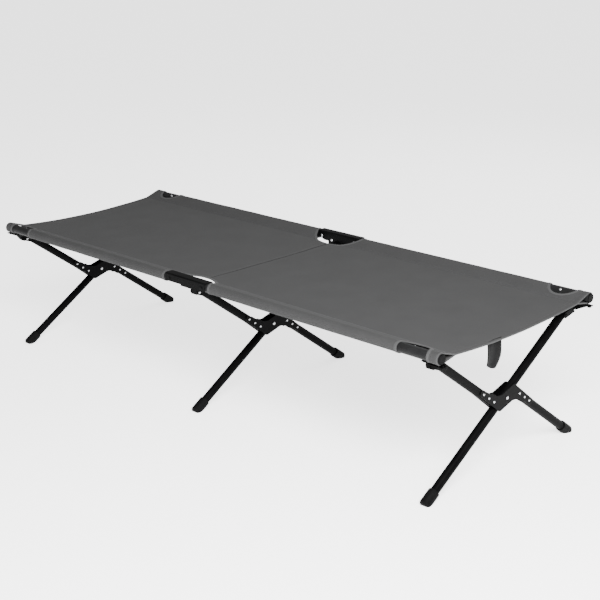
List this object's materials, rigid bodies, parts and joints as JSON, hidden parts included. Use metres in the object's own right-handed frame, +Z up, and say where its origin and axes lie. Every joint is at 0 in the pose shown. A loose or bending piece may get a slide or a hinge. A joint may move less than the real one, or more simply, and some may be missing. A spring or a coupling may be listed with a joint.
{
  "type": "folding cot",
  "caption": "Folding cot: a sagging cloth bed on two jointed side rails, carried by crossed tube legs that close like scissors.",
  "frame": {"origin": "on the floor, under the middle of the cot", "axes": "+X along the bed towards the end with the tie strap, +Y across it, +Z up"},
  "size_m": [1.91, 0.6908, 0.4304],
  "materials": {
    "frame_black": "semi-gloss powder coat on round steel tube",
    "bracket_black": "satin powder coat on pressed steel",
    "zinc_rivet": "bright zinc plate",
    "plastic_black": "moulded matt plastic",
    "rubber_black": "matt rubber",
    "cloth_grey": "plain-weave polyester, matt",
    "webbing_black": "woven webbing"
  },
  "bodies": {
    "near_mid": {"near_channel": "bracket_black", "near_fold_pin_left": "bracket_black", "near_fold_pin_right": "bracket_black", "cloth_middle": "cloth_grey"},
    "near_left": {"near_rail_left": "frame_black", "near_rail_cap_left": "plastic_black", "near_hanger_left": "bracket_black", "near_sleeve_left": "cloth_grey", "cloth_left": "cloth_grey"},
    "near_right": {"near_rail_right": "frame_black", "near_rail_cap_right": "plastic_black", "near_hanger_right": "bracket_black", "near_sleeve_right": "cloth_grey", "cloth_right": "cloth_grey", "tie_strap": "webbing_black"},
    "far_mid": {"far_channel": "bracket_black", "far_fold_pin_left": "bracket_black", "far_fold_pin_right": "bracket_black"},
    "far_left": {"far_rail_left": "frame_black", "far_rail_cap_left": "plastic_black", "far_hanger_left": "bracket_black", "far_sleeve_left": "cloth_grey"},
    "far_right": {"far_rail_right": "frame_black", "far_rail_cap_right": "plastic_black", "far_hanger_right": "bracket_black", "far_sleeve_right": "cloth_grey"},
    "near_left_swivel": {"near_swivel_left": "bracket_black"},
    "far_left_swivel": {"far_swivel_left": "bracket_black"},
    "near_right_swivel": {"near_swivel_right": "bracket_black"},
    "far_right_swivel": {"far_swivel_right": "bracket_black"},
    "left_split_leg_set": {"left_split_leg_upper": "frame_black", "left_split_leg_lower": "frame_black", "left_plate_right": "bracket_black", "left_plate_left": "bracket_black", "left_yoke_near": "bracket_black", "left_foot_far": "rubber_black"},
    "left_straight_leg_set": {"left_straight_leg": "frame_black", "left_pivot_rivet": "zinc_rivet", "left_yoke_far": "bracket_black", "left_foot_near": "rubber_black"},
    "middle_split_leg_set": {"middle_split_leg_upper": "frame_black", "middle_split_leg_lower": "frame_black", "middle_plate_right": "bracket_black", "middle_plate_left": "bracket_black", "middle_yoke_near": "bracket_black", "middle_foot_far": "rubber_black"},
    "middle_straight_leg_set": {"middle_straight_leg": "frame_black", "middle_pivot_rivet": "zinc_rivet", "middle_yoke_far": "bracket_black", "middle_foot_near": "rubber_black"},
    "right_split_leg_set": {"right_split_leg_upper": "frame_black", "right_split_leg_lower": "frame_black", "right_plate_right": "bracket_black", "right_plate_left": "bracket_black", "right_yoke_near": "bracket_black", "right_foot_far": "rubber_black"},
    "right_straight_leg_set": {"right_straight_leg": "frame_black", "right_pivot_rivet": "zinc_rivet", "right_yoke_far": "bracket_black", "right_foot_near": "rubber_black"}
  },
  "joints": [
    {"name": "scissor", "type": "hinge", "parent": "near_mid", "child": "middle_split_leg_set", "pos_m": [0, -0.3025, 0.3795], "axis": [-1, 0, 0], "range_deg": [0, 53], "deforming": ["cloth_left", "cloth_middle", "cloth_right", "tie_strap"]},
    {"name": "fold", "type": "hinge", "parent": "near_mid", "child": "near_left", "pos_m": [-0.072, -0.3275, 0.414], "axis": [0, -1, 0], "range_deg": [0, 90]},
    {"name": "near_right_fold", "type": "hinge", "parent": "near_mid", "child": "near_right", "pos_m": [0.072, -0.3275, 0.414], "axis": [0, 1, 0], "range_deg": [0, 90]},
    {"name": "middle_cross", "type": "hinge", "parent": "middle_split_leg_set", "child": "middle_straight_leg_set", "pos_m": [0, 0, 0.205], "axis": [1, 0, 0], "range_deg": [0, 106.4]},
    {"name": "far_scissor", "type": "hinge", "parent": "middle_straight_leg_set", "child": "far_mid", "pos_m": [0, 0.3025, 0.3795], "axis": [-1, 0, 0], "range_deg": [0, 53.2]},
    {"name": "far_left_fold", "type": "hinge", "parent": "far_mid", "child": "far_left", "pos_m": [-0.072, 0.3275, 0.414], "axis": [0, -1, 0], "range_deg": [0, 90]},
    {"name": "far_right_fold", "type": "hinge", "parent": "far_mid", "child": "far_right", "pos_m": [0.072, 0.3275, 0.414], "axis": [0, 1, 0], "range_deg": [0, 90]},
    {"name": "left_swing", "type": "hinge", "parent": "near_left", "child": "near_left_swivel", "pos_m": [-0.898, -0.3025, 0.3795], "axis": [0, -1, 0], "range_deg": [0, 90]},
    {"name": "left_scissor", "type": "hinge", "parent": "near_left_swivel", "child": "left_split_leg_set", "pos_m": [-0.898, -0.3025, 0.3795], "axis": [-1, 0, 0], "range_deg": [0, 53.2]},
    {"name": "left_cross", "type": "hinge", "parent": "left_split_leg_set", "child": "left_straight_leg_set", "pos_m": [-0.898, 0, 0.205], "axis": [1, 0, 0], "range_deg": [0, 106.4]},
    {"name": "left_far_scissor", "type": "hinge", "parent": "left_straight_leg_set", "child": "far_left_swivel", "pos_m": [-0.898, 0.3025, 0.3795], "axis": [-1, 0, 0], "range_deg": [0, 53.2]},
    {"name": "right_swing", "type": "hinge", "parent": "near_right", "child": "near_right_swivel", "pos_m": [0.898, -0.3025, 0.3795], "axis": [0, 1, 0], "range_deg": [0, 90]},
    {"name": "right_scissor", "type": "hinge", "parent": "near_right_swivel", "child": "right_split_leg_set", "pos_m": [0.898, -0.3025, 0.3795], "axis": [-1, 0, 0], "range_deg": [0, 53.2]},
    {"name": "right_cross", "type": "hinge", "parent": "right_split_leg_set", "child": "right_straight_leg_set", "pos_m": [0.898, 0, 0.205], "axis": [1, 0, 0], "range_deg": [0, 106.4]},
    {"name": "right_far_scissor", "type": "hinge", "parent": "right_straight_leg_set", "child": "far_right_swivel", "pos_m": [0.898, 0.3025, 0.3795], "axis": [-1, 0, 0], "range_deg": [0, 53.2]}
  ],
  "couplings": [
    {"joint": "near_right_fold", "follows": "fold", "ratio": 1},
    {"joint": "far_left_fold", "follows": "fold", "ratio": 1},
    {"joint": "far_right_fold", "follows": "fold", "ratio": 1},
    {"joint": "middle_cross", "follows": "scissor", "ratio": 2},
    {"joint": "far_scissor", "follows": "scissor", "ratio": 1},
    {"joint": "left_swing", "follows": "fold", "ratio": 1},
    {"joint": "left_scissor", "follows": "scissor", "ratio": 1},
    {"joint": "left_cross", "follows": "scissor", "ratio": 2},
    {"joint": "left_far_scissor", "follows": "scissor", "ratio": 1},
    {"joint": "right_swing", "follows": "fold", "ratio": 1},
    {"joint": "right_scissor", "follows": "scissor", "ratio": 1},
    {"joint": "right_cross", "follows": "scissor", "ratio": 2},
    {"joint": "right_far_scissor", "follows": "scissor", "ratio": 1}
  ]
}
